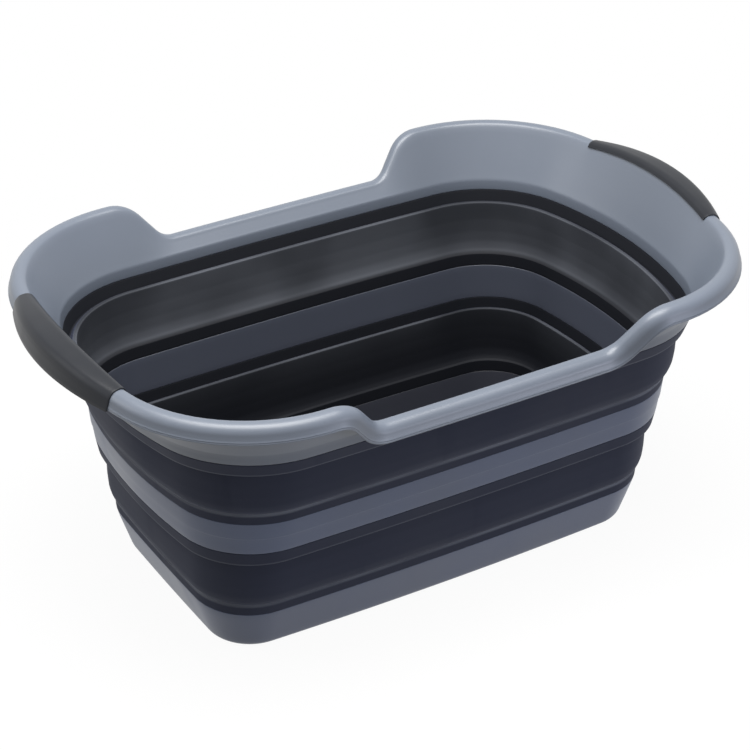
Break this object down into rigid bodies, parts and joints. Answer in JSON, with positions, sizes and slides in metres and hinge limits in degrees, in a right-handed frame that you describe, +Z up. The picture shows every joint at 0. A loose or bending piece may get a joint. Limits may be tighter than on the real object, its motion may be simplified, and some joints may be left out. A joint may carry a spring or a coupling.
{
  "type": "collapsible tub",
  "caption": "Oblong folding tub: rigid base tray, middle ring and flared rim joined by soft folding bands, with a stepped rolled lip and a soft grip at each end.",
  "frame": {"origin": "on the surface the tub stands on, below the middle of the tub", "axes": "+X along the tub towards its right end, +Y across it, +Z up"},
  "size_m": [0.6098, 0.4026, 0.2746],
  "materials": {
    "collar": "semi-gloss moulded, blue-grey",
    "slate": "semi-gloss moulded, dark slate",
    "fold": "satin, near black",
    "grip": "matt, charcoal"
  },
  "bodies": {
    "base": {"base_tray": "slate", "lower_fold": "fold"},
    "middle": {"middle_ring": "slate", "upper_fold": "fold"},
    "rim": {"rim_collar": "collar", "grip_left": "grip", "grip_right": "grip"}
  },
  "joints": [
    {"name": "lower_fold_slide", "type": "slide", "parent": "base", "child": "middle", "axis": [0, 0, 1], "range_m": [-0.098, 0], "deforming": ["lower_fold"]},
    {"name": "upper_fold_slide", "type": "slide", "parent": "middle", "child": "rim", "axis": [0, 0, 1], "range_m": [-0.096, 0], "deforming": ["upper_fold"]}
  ]
}
